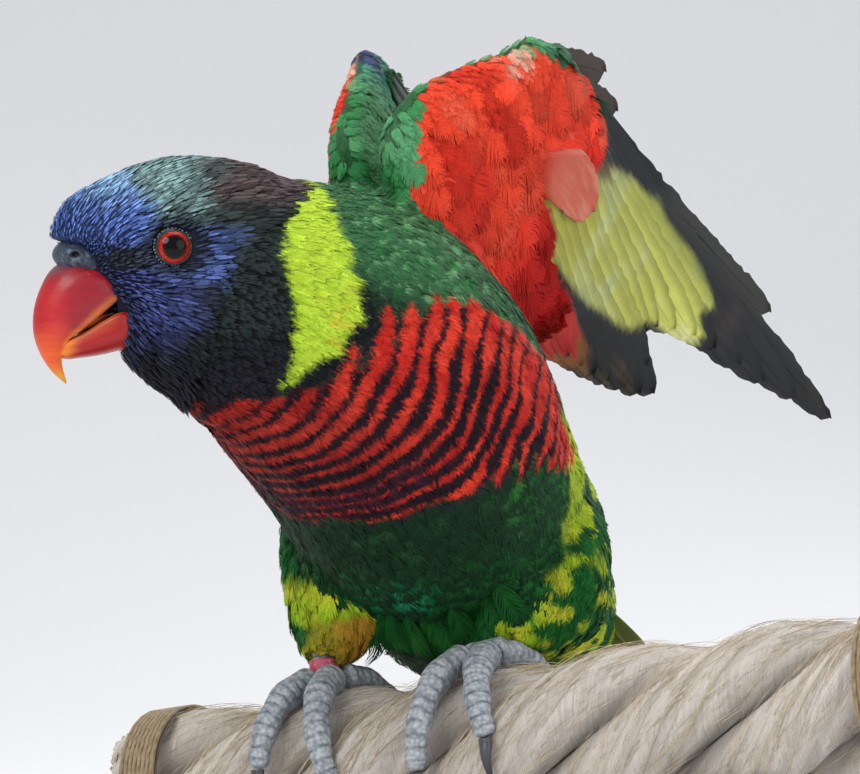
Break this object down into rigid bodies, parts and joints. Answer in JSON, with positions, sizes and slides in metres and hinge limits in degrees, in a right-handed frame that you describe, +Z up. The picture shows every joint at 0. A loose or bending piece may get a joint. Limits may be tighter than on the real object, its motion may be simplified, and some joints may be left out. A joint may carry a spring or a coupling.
{
  "type": "parrot model",
  "caption": "Life-size still model of a coconut lorikeet with both wings raised, gripping a short length of thick laid rope on a plain display stand.",
  "frame": {"origin": "centre of the flat underside of the stand's base", "axes": "+Z up; the bird's chest faces -Y and a little -X, its head looks along -X"},
  "size_m": [0.21, 0.2161, 0.2482],
  "materials": {
    "head_feathers": "fine glossy violet-blue streaks on near-black feathers",
    "collar_feathers": "soft lime green and green neck feathers",
    "breast_feathers": "red feathers edged with purple-black",
    "green_feathers": "satin green feathers",
    "thigh_feathers": "lime feathers barred with green",
    "wing_lining": "soft orange-red under-wing feathers with a green edge",
    "flight_feathers": "firm blue-black vanes with a yellow band, green above",
    "bill_horn": "polished red horn, orange to yellow at the edges and tip",
    "cere_skin": "dry blue-grey bare skin",
    "tongue_flesh": "moist orange flesh",
    "eye_gloss": "glossy eye with a red iris and black pupil",
    "foot_scales": "blue-grey scaly skin",
    "claw_horn": "dark grey horn",
    "leg_ring_plastic": "pinkish-red plastic",
    "rope_fibre": "pale hairy natural fibre, laid in strands",
    "whipping_twine": "tight waxed twine",
    "stand_wood": "dark satin-varnished wood",
    "stand_metal": "brushed steel"
  },
  "bodies": {
    "root": {"belly": "green_feathers", "breast": "breast_feathers", "cere": "cere_skin", "claw_left_back_inner": "claw_horn", "claw_left_back_outer": "claw_horn", "claw_left_front_inner": "claw_horn", "claw_left_front_outer": "claw_horn", "claw_right_back_inner": "claw_horn", "claw_right_back_outer": "claw_horn", "claw_right_front_inner": "claw_horn", "claw_right_front_outer": "claw_horn", "eye_left": "eye_gloss", "eye_right": "eye_gloss", "head": "head_feathers", "leg_ring": "leg_ring_plastic", "lower_bill": "bill_horn", "neck": "collar_feathers", "perch_strand_a": "rope_fibre", "perch_strand_b": "rope_fibre", "perch_strand_c": "rope_fibre", "perch_whipping_left": "whipping_twine", "perch_whipping_right": "whipping_twine", "rump": "green_feathers", "shank_left": "foot_scales", "shank_right": "foot_scales", "stand_base": "stand_wood", "stand_rod_left": "stand_metal", "stand_rod_right": "stand_metal", "stand_saddle_left": "stand_metal", "stand_saddle_right": "stand_metal", "tail": "green_feathers", "thigh_left": "thigh_feathers", "thigh_right": "thigh_feathers", "toe_left_back_inner": "foot_scales", "toe_left_back_outer": "foot_scales", "toe_left_front_inner": "foot_scales", "toe_left_front_outer": "foot_scales", "toe_right_back_inner": "foot_scales", "toe_right_back_outer": "foot_scales", "toe_right_front_inner": "foot_scales", "toe_right_front_outer": "foot_scales", "tongue": "tongue_flesh", "upper_bill": "bill_horn", "wing_left_alula": "flight_feathers", "wing_left_arm": "wing_lining", "wing_left_primaries": "flight_feathers", "wing_left_secondaries": "flight_feathers", "wing_right_alula": "flight_feathers", "wing_right_arm": "wing_lining", "wing_right_primaries": "flight_feathers", "wing_right_secondaries": "flight_feathers"}
  },
  "joints": []
}
